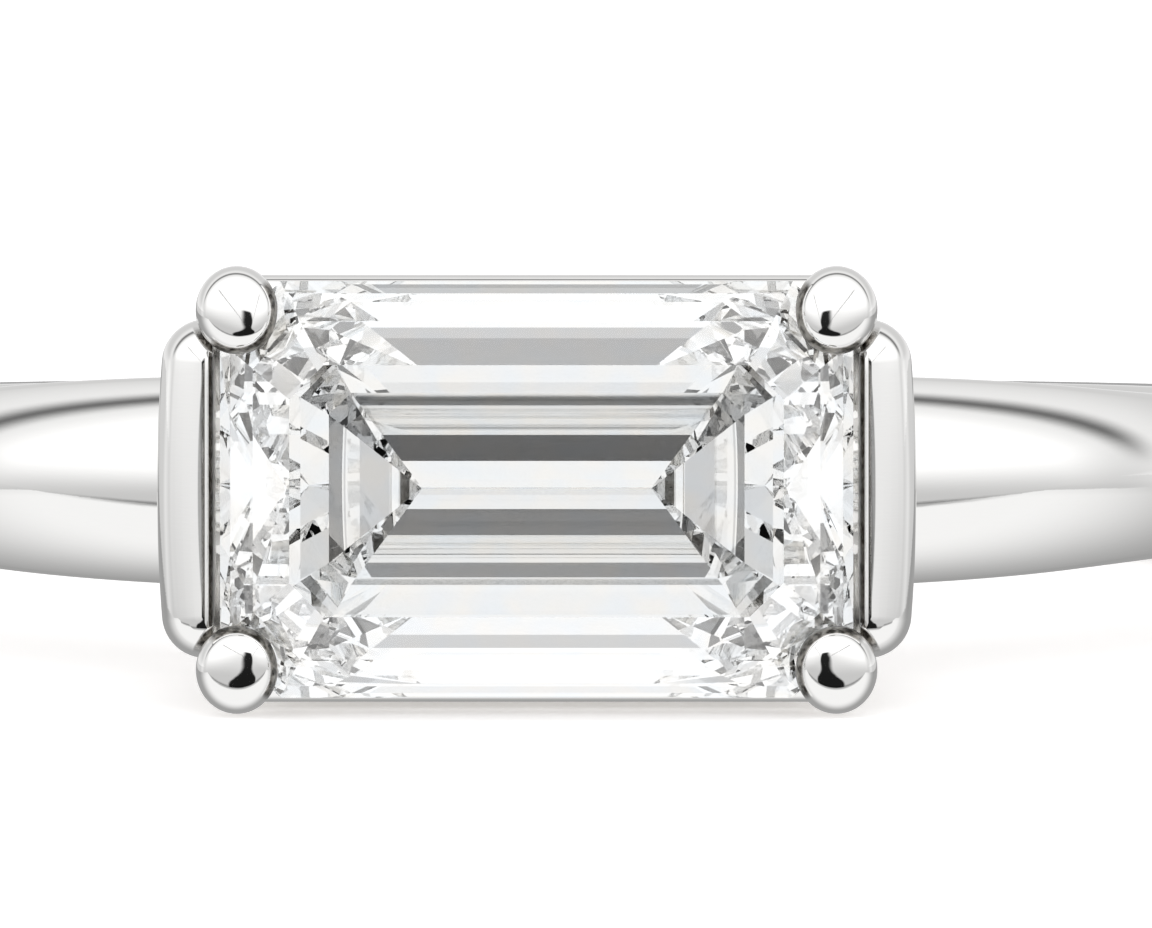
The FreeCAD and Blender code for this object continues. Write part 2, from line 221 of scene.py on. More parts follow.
class RingRailSizes(bpy.types.PropertyGroup):
    """Sizes of the two gallery rails"""
    radius: length("Radius", "Radius of a rail", 0.22)
    outer: length("Outer side", "Distance of the outer side from the middle", 2.437)
    level: length("Level", "Height of a rail above the finger axis", 11.82)
    half: length("Half length", "Half the length of a rail", 3.35)


class RingFinish(bpy.types.PropertyGroup):
    """Colours and finish"""
    metal: colour("Metal", "Colour of the polished metal", (0.90, 0.895, 0.885))
    polish: share("Polish", "Roughness of the polished metal", 0.035)
    burnish: share("Burnish", "Roughness of the burnished metal", 0.30)
    # Painted shade: the two colours, streaked like tool marks, of the burnished metal where the
    # tips and bars meet the stone.
    shade_and_tool_dark: colour("Tool marks, dark", "Darkest of the burnished metal", (0.03, 0.026, 0.02))
    shade_and_tool_light: colour("Tool marks, light", "Lightest of the burnished metal", (0.40, 0.38, 0.35))
    tool_depth: length("Tool marks, depth", "Depth of the tool marks", 0.03)
    ior: share("Refraction", "Index of refraction of the stone", 2.417, 4.0)
    frost: share("Frost", "Most of the roughness of the frosted girdle", 0.35)
    # Painted fire: faint blue and orange flecks painted into the stone's colour stand in for
    # dispersed light.
    cool: colour("Stone, cool", "Colour of the stone where it flashes blue", (0.945, 0.975, 1.0))
    warm: colour("Stone, warm", "Colour of the stone where it flashes orange", (1.0, 0.985, 0.955))
    seat_gap: length("Seat gap", "Clearance between stone and metal", 0.02)


class RingStudio(bpy.types.PropertyGroup):
    """Camera, floor and light"""
    distance: length("Camera distance", "From the camera to the stone", 200.0)
    above: angle("Camera above", "Height of the camera over the stone's own normal", 1.315)
    frame_width: length("Frame width", "Width of the picture at the stone", 13.121)
    stone_level: length("Stone level", "Height of the stone's girdle over the finger axis", 12.22)
    stone_left: length("Stone left", "How far the stone is left of the middle", 0.448)
    stone_down: length("Stone down", "How far the stone is below the middle", 0.288)
    floor_half: length("Floor", "Half the side of the floor", 3000.0)
    tent: share("Tent", "Strength of the white light tent", 1.0, 10.0)
    backdrop: share("Backdrop", "Brightness of the backdrop", 1.05, 10.0)
    sheet: share("Ground sheet", "Own glow of the ground sheet, as it is lit from below", 0.35)
    sheet_glow: colour("Ground sheet, glow", "Colour of the ground sheet's glow", (1.0, 0.92, 0.84))


def ring_matrix():
    """Place of the ring's own axes: X along the stone, -Y to the stone, Z along the finger."""
    up = Vector(HOLE["axis"]).normalized()
    along = Vector((1.0, 0.0, 0.0))
    back = up.cross(along)
    turn = Matrix((along, back, up)).transposed().to_4x4()
    return Matrix.Translation(HOLE["pos_m"]) @ turn


def ring_sizes():
    """All sizes and colours of the ring and its studio."""
    return bpy.context.scene.ring_sizes


def finish_mesh(bm, name, material):
    """Turn a bmesh in the ring's own axes into a smooth-shaded object in the row frame."""
    bmesh.ops.remove_doubles(bm, verts=bm.verts, dist=MERGE_DISTANCE)
    bmesh.ops.recalc_face_normals(bm, faces=bm.faces)
    bmesh.ops.transform(bm, matrix=ring_matrix(), verts=bm.verts)
    mesh = bpy.data.meshes.new(name)
    bm.to_mesh(mesh)
    bm.free()
    mesh.materials.append(material)
    piece = bpy.data.objects.new(name, mesh)
    bpy.context.scene.collection.objects.link(piece)
    mesh.shade_smooth()
    mesh.set_sharp_from_angle(angle=SMOOTH_ANGLE)
    return piece


def add_metal_piece(bm, name):
    """Finish a metal piece, let it ride on the body and stand for the metal node."""
    piece = finish_mesh(bm, name, metal_material())
    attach(piece, BODY)
    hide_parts(METAL_NODE)
    return piece


def cut_seat(piece):
    """Cut the stone's seat out of a metal piece."""
    cutter = seat_cutter()
    cut = piece.modifiers.new("Seat", "BOOLEAN")
    cut.operation = "DIFFERENCE"
    cut.solver = "EXACT"
    cut.object = cutter
    graph = bpy.context.evaluated_depsgraph_get()
    mesh = bpy.data.meshes.new_from_object(piece.evaluated_get(graph), depsgraph=graph)
    piece.modifiers.clear()
    old = piece.data
    piece.data = mesh
    mesh.name = old.name
    bpy.data.meshes.remove(old)
    mesh.set_sharp_from_angle(angle=SMOOTH_ANGLE)
    bpy.data.objects.remove(cutter)


def seat_cutter():
    """Copy of the stone, grown by the seat's gap."""
    stone = frame["nodes"][STONE_NODE]
    low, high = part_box(STONE_NODE)
    centre = (low + high) / 2
    gap = ring_sizes().finish.seat_gap
    grow = Matrix.Diagonal([1 + 2 * gap / (high[i] - low[i]) for i in range(3)]).to_4x4()
    bm = bmesh.new()
    bm.from_mesh(stone.data)
    bmesh.ops.remove_doubles(bm, verts=bm.verts, dist=10 * MERGE_DISTANCE)
    place = Matrix.Translation(centre)
    bmesh.ops.transform(bm, matrix=place @ grow @ place.inverted(), verts=bm.verts)
    mesh = bpy.data.meshes.new("seat_cutter")
    bm.to_mesh(mesh)
    bm.free()
    cutter = bpy.data.objects.new("seat_cutter", mesh)
    bpy.context.scene.collection.objects.link(cutter)
    return cutter


def new_material(name):
    """Empty node material with its Principled shader."""
    material = bpy.data.materials.new(name)
    material.use_nodes = True
    return material, material.node_tree, material.node_tree.nodes["Principled BSDF"]


def calculate(tree, operation, *values):
    """Math node on sockets or numbers, giving its output."""
    node = tree.nodes.new("ShaderNodeMath")
    node.operation = operation
    for socket, value in zip(node.inputs, values):
        if isinstance(value, bpy.types.NodeSocket):
            tree.links.new(value, socket)
        else:
            socket.default_value = value
    return node.outputs[0]


def ramp(tree, value, start, end, low, high):
    """Soft change of a value from low at start to high at end."""
    node = tree.nodes.new("ShaderNodeMapRange")
    node.interpolation_type = "SMOOTHSTEP"
    names = ("Value", "From Min", "From Max", "To Min", "To Max")
    for name, item in zip(names, (value, start, end, low, high)):
        if isinstance(item, bpy.types.NodeSocket):
            tree.links.new(item, node.inputs[name])
        else:
            node.inputs[name].default_value = item
    return node.outputs["Result"]


def window(tree, value, centre, half, soft):
    """One inside a window round a value, nothing outside, with soft edges."""
    away = calculate(tree, "ABSOLUTE", calculate(tree, "SUBTRACT", value, centre))
    return ramp(tree, away, half - soft, half + soft, 1.0, 0.0)


def blend(tree, share_of_second, first, second):
    """Change from a first to a second value by a share."""
    step = calculate(tree, "SUBTRACT", second, first)
    return calculate(tree, "MULTIPLY_ADD", step, share_of_second, first)


def darken(tree, light, mask, strength):
    """Take a share of the light away where a mask is one."""
    kept = calculate(tree, "MULTIPLY_ADD", mask, -strength, 1.0)
    return calculate(tree, "MULTIPLY", light, kept)


def noise(tree, scale, detail, stretch=None):
    """Noise on Object coordinates; its scale is in features per 10 mm."""
    place = tree.nodes.new("ShaderNodeTexCoord").outputs["Object"]
    if stretch:
        mapping = tree.nodes.new("ShaderNodeMapping")
        mapping.inputs["Scale"].default_value = stretch
        tree.links.new(place, mapping.inputs["Vector"])
        place = mapping.outputs["Vector"]
    node = tree.nodes.new("ShaderNodeTexNoise")
    node.inputs["Scale"].default_value = scale * 100
    node.inputs["Detail"].default_value = detail
    tree.links.new(place, node.inputs["Vector"])
    return node.outputs["Fac"]


def tint(tree, value, first, second, socket):
    """Colour between two colours by a value, into a socket."""
    node = tree.nodes.new("ShaderNodeMix")
    node.data_type = "RGBA"
    node.inputs[6].default_value = (*first, 1.0)
    node.inputs[7].default_value = (*second, 1.0)
    tree.links.new(value, node.inputs["Factor"])
    tree.links.new(node.outputs[2], socket)


def bump(tree, height, strength, distance, socket):
    """Bump from a height into a normal socket."""
    node = tree.nodes.new("ShaderNodeBump")
    node.inputs["Strength"].default_value = strength
    node.inputs["Distance"].default_value = distance
    tree.links.new(height, node.inputs["Height"])
    tree.links.new(node.outputs["Normal"], socket)


def ring_place(tree):
    """Object coordinates turned into the ring's own axes, in millimetres, without their signs."""
    place = tree.nodes.new("ShaderNodeTexCoord").outputs["Object"]
    turn = ring_matrix().inverted()
    mapping = tree.nodes.new("ShaderNodeMapping")
    mapping.inputs["Location"].default_value = turn.to_translation() / MM
    mapping.inputs["Rotation"].default_value = turn.to_euler()
    mapping.inputs["Scale"].default_value = (1 / MM, 1 / MM, 1 / MM)
    tree.links.new(place, mapping.inputs["Vector"])
    away = tree.nodes.new("ShaderNodeVectorMath")
    away.operation = "ABSOLUTE"
    tree.links.new(mapping.outputs["Vector"], away.inputs[0])
    split = tree.nodes.new("ShaderNodeSeparateXYZ")
    tree.links.new(away.outputs["Vector"], split.inputs[0])
    return split.outputs


def burnish_and_shade_mask(tree):
    """One where shade is painted: on the flank of a tip that was burnished down against the stone,
    on its edge towards the stone, and on the seat between a bar and the stone; then one on that
    seat alone."""
    claw = ring_sizes().claw
    along, level, across = ring_place(tree)
    parts = []
    for value, middle, half in ((along, claw.tip_along, claw.half_along),
                                (across, claw.tip_across, claw.half_across)):
        shift = calculate(tree, "SUBTRACT", value, middle / MM)
        parts.append(calculate(tree, "DIVIDE", shift, half / MM))
    squares = [calculate(tree, "MULTIPLY", part, part) for part in parts]
    away = calculate(tree, "SQRT", calculate(tree, "ADD", *squares))
    inwards = calculate(tree, "ADD", *parts)
    flank = calculate(tree, "MULTIPLY", window(tree, away, *FLANK_RING),
                      ramp(tree, inwards, *FLANK_SIDE, 1.0, 0.0))
    tip_edge_shade = calculate(tree, "MULTIPLY", window(tree, away, *JOINT_SHADE_RING),
                      ramp(tree, parts[1], *JOINT_SHADE_SIDE, 1.0, 0.0))
    seat = calculate(tree, "MULTIPLY", window(tree, along, *SEAT_STRIP),
                     ramp(tree, across, *SEAT_ENDS, 1.0, 0.0))
    seat = calculate(tree, "MULTIPLY", seat, ramp(tree, level, *SEAT_LEVELS, 0.0, 1.0))
    # Painted shade and real burnish: the tips are darkened where they meet the stone.
    tip_burnish_and_shade = calculate(tree, "MULTIPLY", calculate(tree, "MAXIMUM", flank, tip_edge_shade),
                       ramp(tree, level, *TIP_LEVELS, 0.0, 1.0))
    return calculate(tree, "MAXIMUM", tip_burnish_and_shade, seat), seat


def metal_material():
    """Mirror-polished white metal with the faint marks of its polishing, and rough, burnished metal
    with streaked painted shade where it meets the stone."""
    name = "polished_white_metal"
    if name in bpy.data.materials:
        return bpy.data.materials[name]
    finish = ring_sizes().finish
    material, tree, shader = new_material(name)
    shader.inputs["Metallic"].default_value = 1.0
    marks = noise(tree, *MARKS_NOISE)
    # burnished is both the rough burnished metal and where shade is painted on it.
    burnished, seat = burnish_and_shade_mask(tree)
    tooling = noise(tree, *TOOLING_NOISE)
    rough = ramp(tree, marks, *MARKS_RANGE, finish.polish * 0.7, finish.polish * 1.3)
    tree.links.new(blend(tree, burnished, rough, finish.burnish), shader.inputs["Roughness"])
    tone_and_shade = tree.nodes.new("ShaderNodeMix")
    tone_and_shade.data_type = "RGBA"
    toned = [part * MARKS_TONE for part in finish.metal]
    tint(tree, marks, finish.metal, toned, tone_and_shade.inputs[6])
    # Painted shade: darker still on the seat beside the stone.
    streaks_and_seat_shade = darken(tree, ramp(tree, tooling, *SHARP_RANGE, 0.0, 1.0), seat, SEAT_SHADE)
    tint(tree, streaks_and_seat_shade, finish.shade_and_tool_dark, finish.shade_and_tool_light, tone_and_shade.inputs[7])
    tree.links.new(burnished, tone_and_shade.inputs["Factor"])
    tree.links.new(tone_and_shade.outputs[2], shader.inputs["Base Color"])
    height = blend(tree, burnished, calculate(tree, "MULTIPLY", marks, MARKS_HEIGHT), tooling)
    bump(tree, height, 1.0, finish.tool_depth, shader.inputs["Normal"])
    return material


def stone_material():
    """Clear stone with the refraction of diamond, a frosted girdle, and painted fire: faint blue
    and orange flecks painted into its colour.
    """
    finish = ring_sizes().finish
    material, tree, shader = new_material("clear_stone")
    shader.inputs["Transmission Weight"].default_value = 1.0
    shader.inputs["IOR"].default_value = finish.ior
    # Painted fire: blue and orange flecks in the stone's colour stand in for dispersed light.
    painted_fire = ramp(tree, noise(tree, *PAINTED_FIRE_NOISE), *SHARP_RANGE, 0.0, 1.0)
    tint(tree, painted_fire, finish.cool, finish.warm, shader.inputs["Base Color"])
    level = ring_place(tree)[1]
    girdle = window(tree, level, *GIRDLE_LEVELS)
    grain = noise(tree, *FROST_NOISE)
    frost = calculate(tree, "MULTIPLY", grain, finish.frost)
    tree.links.new(calculate(tree, "MULTIPLY", girdle, frost), shader.inputs["Roughness"])
    return material


def taper_half(band, y):
    """Half width of the band where the ring's own Y is y: two equal arcs, one into the other."""
    fall = band.shoulder_half - band.base_half
    arc = (band.taper_run ** 2 + fall ** 2) / (4 * fall)
    run = min(max(y + band.crest_radius, 0.0), band.taper_run)
    if run < band.taper_run / 2:
        return band.shoulder_half - arc + math.sqrt(arc ** 2 - run ** 2)
    return band.base_half + arc - math.sqrt(arc ** 2 - (band.taper_run - run) ** 2)


def arc_points(centre, radius, start, end, count):
    """Points of an arc given by its angles, both ends included."""
    points = []
    for step in range(count + 1):
        turn = start + (end - start) * step / count
        points.append((centre[0] + radius * math.cos(turn), centre[1] + radius * math.sin(turn)))
    return points


def line_points(start, end, count):
    """Points between two ends, which are left out."""
    points = []
    for step in range(1, count):
        part = step / count
        points.append(tuple(a + (b - a) * part for a, b in zip(start, end)))
    return points


def band_section(band, half):
    """Closed section of the band at a half width: pairs of radius and height."""
    rounding = band.outer_rounding
    inner = band.inner_rounding
    dome_middle = band.crest_radius - band.dome_radius
    reach = band.dome_radius - rounding
    edge = math.asin((half - rounding) / reach)
    edge_middle = (dome_middle + reach * math.cos(edge), half - rounding)
    quarter = math.pi / 2
    upper = arc_points((dome_middle, 0.0), band.dome_radius, 0.0, edge, 16)
    upper += arc_points(edge_middle, rounding, edge, quarter, 8)[1:]
    foot = (band.bore_radius + inner, half)
    upper += line_points((edge_middle[0], half), foot, 4)
    upper += arc_points((foot[0], half - inner), inner, quarter, math.pi, 6)
    upper += line_points((band.bore_radius, half - inner), (band.bore_radius, 0.0), 4)
    lower = [(radius, -height) for radius, height in reversed(upper[1:])]
    return upper + [(band.bore_radius, 0.0)] + lower


class RING_OT_band(bpy.types.Operator):
    """Add the tapering band"""
    bl_idname = "ring.band"
    bl_label = "Band"

    def execute(self, context):
        band = ring_sizes().band
        bm = bmesh.new()
        place = bm.verts.layers.int.new("place")
        section = band_section(band, band.shoulder_half)
        verts = []
        for index, (radius, height) in enumerate(section):
            vert = bm.verts.new((0.0, -radius, height))
            vert[place] = index
            verts.append(vert)
        edges = [bm.edges.new((a, b)) for a, b in zip(verts, verts[1:] + verts[:1])]
        bmesh.ops.spin(bm, geom=verts + edges, cent=(0, 0, 0), axis=(0, 0, 1), dvec=(0, 0, 0),
                       angle=math.tau, steps=band.steps, use_merge=True)
        for vert in bm.verts:
            turn = math.atan2(vert.co.x, -vert.co.y)
            radius = math.hypot(vert.co.x, vert.co.y)
            half = taper_half(band, -radius * math.cos(turn))
            radius, height = band_section(band, half)[vert[place]]
            vert.co = (radius * math.sin(turn), -radius * math.cos(turn), height)
        add_metal_piece(bm, "band")
        return {"FINISHED"}


def skin(loops):
    """Skin over loops of as many points each, closed at both ends."""
    bm = bmesh.new()
    verts = [bm.verts.new(point) for point in loops[0]]
    bm.faces.new(verts)
    edges = list(bm.edges)
    for loop in loops[1:]:
        geom = bmesh.ops.extrude_edge_only(bm, edges=edges)["geom"]
        edges = [item for item in geom if isinstance(item, bmesh.types.BMEdge)]
        bm.verts.ensure_lookup_table()
        for vert, point in zip(bm.verts[-len(loop):], loop):
            vert.co = point
    bmesh.ops.holes_fill(bm, edges=edges, sides=0)
    return bm


def scoop_half(bar, level):
    """Half width of an end bar at a level: full above the waist, scooped in below it."""
    if level >= bar.waist:
        return bar.half
    top = Vector((bar.waist, bar.half))
    low = Vector((bar.foot, bar.foot_half))
    chord = top - low
    outwards = Vector((-chord.y, chord.x)).normalized()
    centre = (top + low) / 2 + outwards * math.sqrt(bar.scoop ** 2 - (chord.length / 2) ** 2)
    return centre.y - math.sqrt(bar.scoop ** 2 - (level - centre.x) ** 2)


def rounding_inset(radius, depth):
    """How far a rounded edge stands back at a depth below its crest."""
    if depth >= radius:
        return 0.0
    return radius - math.sqrt(radius ** 2 - (radius - depth) ** 2)


def bar_outline(bar, depth):
    """Outline of an end bar seen along its height, at a depth below the crest."""
    inset = rounding_inset(bar.shoulder, depth)
    inner = bar.inner + rounding_inset(bar.lip, depth)
    middle_across = bar.half - bar.corner
    swing = bar.bulge - bar.corner
    bulge_middle = bar.outer - bar.bulge
    middle_along = bulge_middle + math.sqrt(swing ** 2 - middle_across ** 2)
    meet = math.asin(middle_across / swing)
    quarter = math.pi / 2
    half = bar.half - inset
    outline = line_points((inner, 0.0), (inner, half), 6)
    outline += [(inner, half)]
    outline += line_points((inner, half), (middle_along, half), 3)
    outline += arc_points((middle_along, middle_across), bar.corner - inset, quarter, meet, 12)
    outline += arc_points((bulge_middle, 0.0), bar.bulge - inset, meet, 0.0, 12)[1:-1]
    mirrored = [(x, -z) for x, z in reversed(outline)]
    return [(inner, 0.0)] + outline + [(bar.outer - inset, 0.0)] + mirrored


def bar_depths(bar):
    """Depths of an end bar's sections: close together over its roundings, then down to the foot."""
    steps = 16
    turns = [math.pi / 2 * step / steps for step in range(steps + 1)]
    depths = {bar.shoulder * (1 - math.cos(turn)) for turn in turns}
    depths |= {bar.lip * (1 - math.cos(turn)) for turn in turns[::4]}
    straight = bar.crest - bar.foot - bar.shoulder
    depths |= {bar.shoulder + straight * step / steps for step in range(1, steps + 1)}
    return sorted(depths)


def make_bar(side):
    """End bar on one side of the stone: its outline drawn down from the crest to the foot."""
    bar = ring_sizes().bar
    loops = []
    for depth in bar_depths(bar):
        level = bar.crest - depth
        narrow = scoop_half(bar, level) / bar.half
        loops.append([(x, -level, z * narrow) for x, z in bar_outline(bar, depth)])
    bm = skin(loops)
    if side < 0:
        bmesh.ops.scale(bm, vec=(-1, 1, 1), verts=bm.verts)
    return bm


class RING_OT_bars(bpy.types.Operator):
    """Add the two end bars that hug the short ends of the stone"""
    bl_idname = "ring.bars"
    bl_label = "End bars"

    def execute(self, context):
        for side, word in ((1, "right"), (-1, "left")):
            piece = add_metal_piece(make_bar(side), "end_bar_" + word)
            cut_seat(piece)
        return {"FINISHED"}


def claw_outline(claw, turn):
    """Point of a tip's outline, from its middle; it is squarer towards the stone."""
    along, across = math.cos(turn), math.sin(turn)
    inwards = max(0.0, -along) * max(0.0, -across)
    grow = 1 + claw.square * (2 * inwards) ** 2
    return Vector((claw.half_along * along * grow, 0.0, claw.half_across * across * grow))


def claw_loops(claw, count):
    """Loops of points of a claw, from its foot over its tip, each a list of count points."""
    turns = [math.tau * step / count for step in range(count)]
    foot = Vector((claw.foot_along, -claw.foot_level, claw.foot_across))
    base = claw.crest - claw.dome
    middle = Vector((claw.tip_along, -base, claw.tip_across))
    neck = Vector((claw.tip_along, -base + claw.swell, claw.tip_across))
    circle = [Vector((math.cos(turn), 0.0, math.sin(turn))) for turn in turns]
    outline = [claw_outline(claw, turn) for turn in turns]
    loops = []
    steps = 10
    for step in range(steps + 1):
        part = step / steps
        centre = foot.lerp(neck, part)
        radius = claw.foot_radius + (claw.top_radius - claw.foot_radius) * part
        loops.append([centre + point * radius for point in circle])
    for step in range(1, steps + 1):
        part = step / steps
        ease = part * part * (3 - 2 * part)
        centre = neck.lerp(middle, part)
        loops.append([centre + (point * claw.top_radius).lerp(edge, ease)
                      for point, edge in zip(circle, outline)])
    crest = Vector((-claw.offset, 0.0, -claw.offset))
    steps = 36
    power = 2 / claw.fullness
    for step in range(1, steps):
        bend = math.pi / 2 * step / steps
        spread = math.cos(bend) ** power
        rise = Vector((0.0, -claw.dome * math.sin(bend) ** power, 0.0))
        loops.append([middle + rise + crest + (edge - crest) * spread for edge in outline])
    return loops


def make_claw(side_along, side_across):
    """Claw at one corner of the stone: a post that widens into a full, rounded tip."""
    bm = skin(claw_loops(ring_sizes().claw, CLAW_POINTS))
    mirror = Matrix.Diagonal((side_along, 1, side_across)).to_4x4()
    bmesh.ops.transform(bm, matrix=mirror, verts=bm.verts)
    return bm


class RING_OT_claws(bpy.types.Operator):
    """Add the four claws over the corners of the stone"""
    bl_idname = "ring.claws"
    bl_label = "Claws"

    def execute(self, context):
        for side_across, high in ((1, "upper"), (-1, "lower")):
            for side_along, word in ((1, "right"), (-1, "left")):
                piece = add_metal_piece(make_claw(side_along, side_across),
                                        "claw_%s_%s" % (high, word))
                cut_seat(piece)
        return {"FINISHED"}


class RING_OT_rails(bpy.types.Operator):
    """Add the two gallery rails under the long edges of the stone"""
    bl_idname = "ring.rails"
    bl_label = "Gallery rails"

    def execute(self, context):
        rail = ring_sizes().rail
        for side, word in ((1, "upper"), (-1, "lower")):
            bm = bmesh.new()
            middle = Vector((0.0, -rail.level, side * (rail.outer - rail.radius)))
            turn = Matrix.Rotation(math.pi / 2, 4, "Y")
            bmesh.ops.create_cone(bm, cap_ends=True, segments=48, radius1=rail.radius,
                                  radius2=rail.radius, depth=2 * rail.half,
                                  matrix=Matrix.Translation(middle) @ turn)
            piece = add_metal_piece(bm, "gallery_rail_" + word)
            cut_seat(piece)
        return {"FINISHED"}


class RING_OT_stone(bpy.types.Operator):
    """Give the step-cut stone its clear material"""
    bl_idname = "ring.stone"
    bl_label = "Stone"

    def execute(self, context):
        stone = frame["nodes"][STONE_NODE]
        material = stone_material()
        for place in stone.material_slots:
            place.material = material
        if not stone.material_slots:
            stone.data.materials.append(material)
        return {"FINISHED"}


def tent_angles(tree):
    """Angles of a direction in the tent, in degrees, and its sideways and backward parts.

    Pitch turns from the front over the top, arch does so less steeply at the sides, azimuth turns
    from the front to a side, slope is how far a direction points down and roll how far it points
    up from the side, and rise grows with its height."""
    direction = tree.nodes.new("ShaderNodeTexCoord").outputs["Generated"]
    split = tree.nodes.new("ShaderNodeSeparateXYZ")
    tree.links.new(direction, split.inputs[0])
    x, back, z = split.outputs
    front = calculate(tree, "MULTIPLY", back, -1.0)
    side = calculate(tree, "ABSOLUTE", x)
    down = calculate(tree, "MULTIPLY", z, -1.0)
    level = calculate(tree, "MULTIPLY", calculate(tree, "MULTIPLY", x, x), ARCH_SIDE)
    height = calculate(tree, "MULTIPLY", z, z)
    over = calculate(tree, "SQRT", calculate(tree, "ADD", height, level))
    turns = {"pitch": (z, front), "azimuth": (side, front), "slope": (down, side),
             "roll": (z, side), "rise": (z, 1.0), "arch": (over, front)}
    angles = {name: calculate(tree, "DEGREES", calculate(tree, "ARCTAN2", *pair))
              for name, pair in turns.items()}
    return angles, side, back


def tent_light(tree, angles, back):
    """Brightness of the tent by direction: panels, their gaps, the camera's opening and the
    white ground sheet."""
    pitch, rise, arch = angles["pitch"], angles["rise"], angles["arch"]
    azimuth = angles["azimuth"]
    panels = ramp(tree, rise, *PANEL_RISE, *PANEL_LIGHT)
    panels = darken(tree, panels, ramp(tree, arch, *TOP_ARCH, 0.0, 1.0), TOP_SHADE)
    seam = calculate(tree, "MULTIPLY", window(tree, angles["roll"], *SEAM_WINDOW),
                     ramp(tree, back, *SEAM_BACK, 1.0, 0.0))
    panels = darken(tree, panels, seam, SEAM_SHADE)
    behind = ramp(tree, arch, *BEHIND_ARCH, *BEHIND_LIGHT)
    behind = calculate(tree, "ADD", behind, ramp(tree, pitch, *FAR_PITCH, 0.0, FAR_LIGHT))
    low_turn = ramp(tree, azimuth, *TURN_AZIMUTH, 0.0, 1.0)
    high_turn = ramp(tree, arch, *TURN_ARCH, 0.0, 1.0)
    turned = blend(tree, ramp(tree, rise, *TURN_RISE, 0.0, 1.0), low_turn, high_turn)
    walls = blend(tree, turned, panels, behind)
    gap = calculate(tree, "MULTIPLY", window(tree, arch, *GAP_WINDOW),
                    ramp(tree, rise, *GAP_RISE, 0.0, 1.0))
    walls = darken(tree, walls, gap, GAP_SHADE)

    sheet = ramp(tree, back, *SHEET_BACK, *SHEET_LIGHT)
    ahead = calculate(tree, "SUBTRACT", calculate(tree, "MULTIPLY", pitch, -1.0), SHEET_AHEAD)
    aside = calculate(tree, "SUBTRACT", angles["slope"], SHEET_ASIDE)
    edge = calculate(tree, "MINIMUM", aside, ahead)
    on_sheet = ramp(tree, edge, -SHEET_EDGE, SHEET_EDGE, 0.0, 1.0)
    light = blend(tree, on_sheet, walls, sheet)
    line = calculate(tree, "MULTIPLY", window(tree, edge, *LINE_WINDOW),
                     ramp(tree, azimuth, *LINE_AZIMUTH, 1.0, LINE_LEFT))
    light = darken(tree, light, line, LINE_SHADE)

    low = ramp(tree, pitch, *OPENING_FALL, 1.0, 0.0)
    reach = ramp(tree, low, 0.0, 1.0, *OPENING_REACH)
    beside = calculate(tree, "SUBTRACT", azimuth, reach)
    opening = calculate(tree, "MULTIPLY", ramp(tree, beside, *OPENING_EDGE, 1.0, 0.0),
                        window(tree, pitch, *OPENING_WINDOW))
    return darken(tree, light, opening, OPENING_SHADE)


def stone_light(tree, angles, side):
    """Brightness of the tent as it flashes through the stone: white, with dark edges."""
    light = ramp(tree, side, 0.0, 1.0, *THROUGH_LIGHT)
    central = ramp(tree, side, *SIDEWAYS, 1.0, 0.0)
    sideways = ramp(tree, side, *SIDEWAYS, 0.0, 1.0)
    for turn, edges, where in (("pitch", PITCH_EDGES, central),
                               ("azimuth", AZIMUTH_EDGES, sideways)):
        for *place, strength in edges:
            band = window(tree, angles[turn], *place)
            light = darken(tree, light, calculate(tree, "MULTIPLY", band, where), strength)
    return light


def build_tent(studio):
    """World: the light tent, plain white where the camera looks at it."""
    world = bpy.data.worlds.new("light_tent")
    bpy.context.scene.world = world
    world.use_nodes = True
    world.cycles.sampling_method = "NONE"
    tree = world.node_tree
    background = tree.nodes["Background"]
    background.inputs["Color"].default_value = (1.0, 1.0, 1.0, 1.0)
    path = tree.nodes.new("ShaderNodeLightPath").outputs
    angles, side, back = tent_angles(tree)
    through = calculate(tree, "MINIMUM", path["Transmission Depth"], 1.0)
    mirrored = tent_light(tree, angles, back)
    light = blend(tree, through, mirrored, stone_light(tree, angles, side))
    light = calculate(tree, "MULTIPLY", light, studio.tent)
    seen = path["Is Camera Ray"]
    tree.links.new(blend(tree, seen, light, studio.backdrop), background.inputs["Strength"])


def floor_material(studio):
    """White ground sheet with a faint cloudiness, lit a little from below."""
    material, tree, shader = new_material("white_ground_sheet")
    shader.inputs["Roughness"].default_value = 1.0
    shader.inputs["Specular IOR Level"].default_value = 0.0
    clouds = noise(tree, *CLOUD_NOISE)
    tint(tree, clouds, CLOUD_DARK, CLOUD_LIGHT, shader.inputs["Base Color"])
    shader.inputs["Emission Color"].default_value = (*studio.sheet_glow, 1.0)
    shader.inputs["Emission Strength"].default_value = studio.sheet
    return material


def build_floor(studio):
    """Ground sheet under the ring, as far as the eye reaches."""
    bm = bmesh.new()
    bmesh.ops.create_grid(bm, x_segments=1, y_segments=1, size=studio.floor_half)
    mesh = bpy.data.meshes.new("floor")
    bm.to_mesh(mesh)
    bm.free()
    mesh.materials.append(floor_material(studio))
    floor = bpy.data.objects.new("floor", mesh)
    floor.visible_glossy = False
    floor.visible_transmission = False
    bpy.context.scene.collection.objects.link(floor)


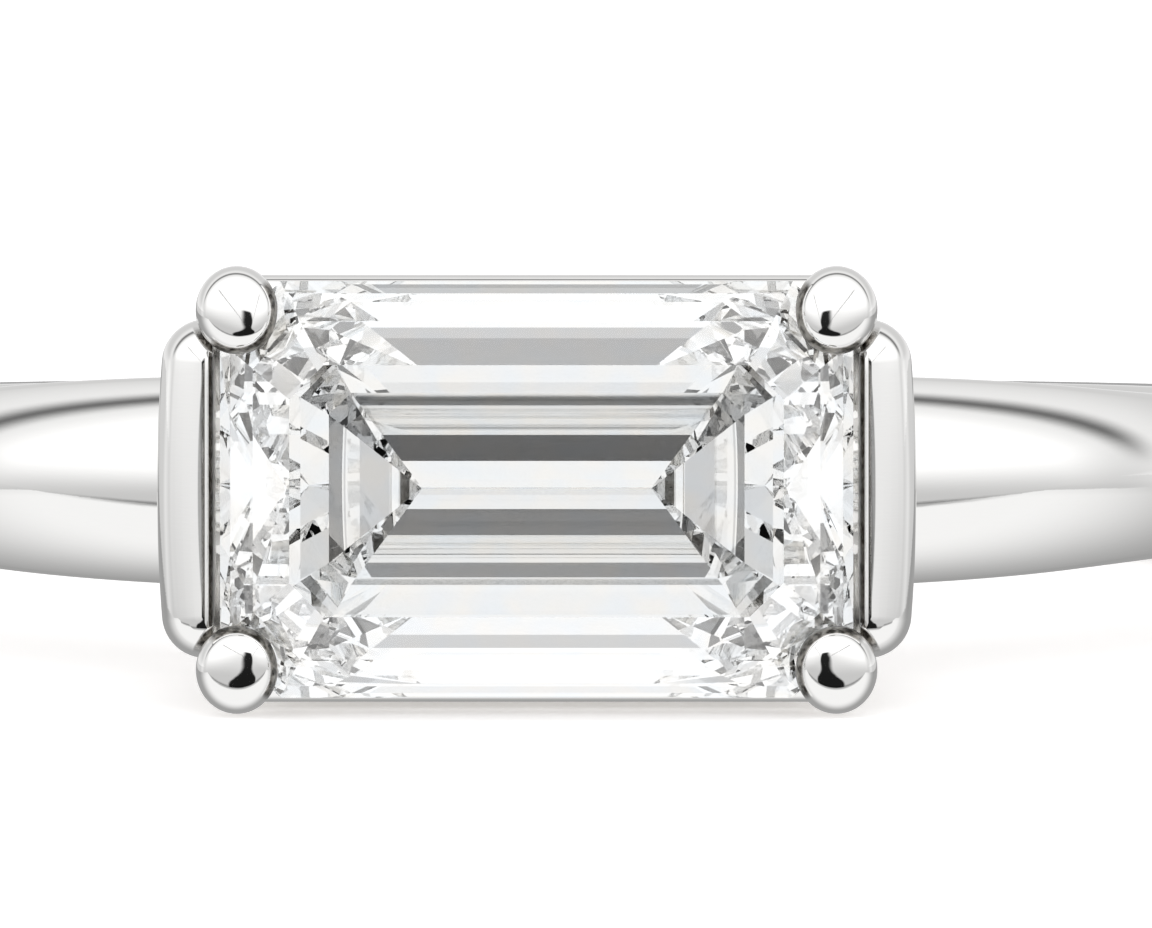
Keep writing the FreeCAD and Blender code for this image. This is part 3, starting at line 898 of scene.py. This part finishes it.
def build_camera(studio):
    """Camera that looks at the stone from slightly above its own normal."""
    hole = ring_matrix()
    stone = hole @ Vector((0.0, -studio.stone_level, 0.0))
    tilt = math.asin(Vector(HOLE["axis"]).y)
    rise = tilt + studio.above
    back = Vector((0.0, -math.cos(rise), math.sin(rise)))
    right = Vector((1.0, 0.0, 0.0))
    up = right.cross(-back)
    data = bpy.data.cameras.new("camera")
    data.sensor_width = SENSOR_WIDTH
    data.lens = SENSOR_WIDTH * studio.distance / studio.frame_width
    data.clip_start = studio.distance / CLIP_REACH
    data.clip_end = studio.distance * CLIP_REACH
    camera = bpy.data.objects.new("camera", data)
    camera.location = (stone + back * studio.distance + right * studio.stone_left
                       + up * studio.stone_down)
    camera.rotation_euler = (-back).to_track_quat("-Z", "Y").to_euler()
    bpy.context.scene.collection.objects.link(camera)
    bpy.context.scene.camera = camera


class RING_OT_studio(bpy.types.Operator):
    """Set up the floor, the light tent and the camera"""
    bl_idname = "ring.studio"
    bl_label = "Studio"

    def execute(self, context):
        studio = ring_sizes().studio
        build_camera(studio)
        build_floor(studio)
        build_tent(studio)
        scene = context.scene
        scene.view_settings.view_transform = "Standard"
        scene.cycles.max_bounces = 40
        scene.cycles.transmission_bounces = 32
        scene.cycles.glossy_bounces = 32
        return {"FINISHED"}


class RingSizes(bpy.types.PropertyGroup):
    """Everything about the ring that can be changed"""
    band: PointerProperty(type=RingBandSizes)
    bar: PointerProperty(type=RingBarSizes)
    claw: PointerProperty(type=RingClawSizes)
    rail: PointerProperty(type=RingRailSizes)
    finish: PointerProperty(type=RingFinish)
    studio: PointerProperty(type=RingStudio)


OPERATORS = (RING_OT_band, RING_OT_bars, RING_OT_claws, RING_OT_rails, RING_OT_stone,
             RING_OT_studio)


class RING_PT_panel(bpy.types.Panel):
    """Lists the steps that build the ring"""
    bl_label = "East west ring"
    bl_idname = "RING_PT_panel"
    bl_space_type = "VIEW_3D"
    bl_region_type = "UI"
    bl_category = "Ring"

    def draw(self, context):
        for operator in OPERATORS:
            self.layout.operator(operator.bl_idname)


CLASSES = (RingBandSizes, RingBarSizes, RingClawSizes, RingRailSizes, RingFinish, RingStudio,
           RingSizes) + OPERATORS + (RING_PT_panel,)


def register():
    for item in CLASSES:
        bpy.utils.register_class(item)
    bpy.types.Scene.ring_sizes = PointerProperty(type=RingSizes)


def unregister():
    del bpy.types.Scene.ring_sizes
    for item in reversed(CLASSES):
        bpy.utils.unregister_class(item)


def main():
    register()
    bpy.ops.ring.band()
    bpy.ops.ring.bars()
    bpy.ops.ring.claws()
    bpy.ops.ring.rails()
    bpy.ops.ring.stone()
    bpy.ops.ring.studio()


if __name__ == "__main__":
    main()
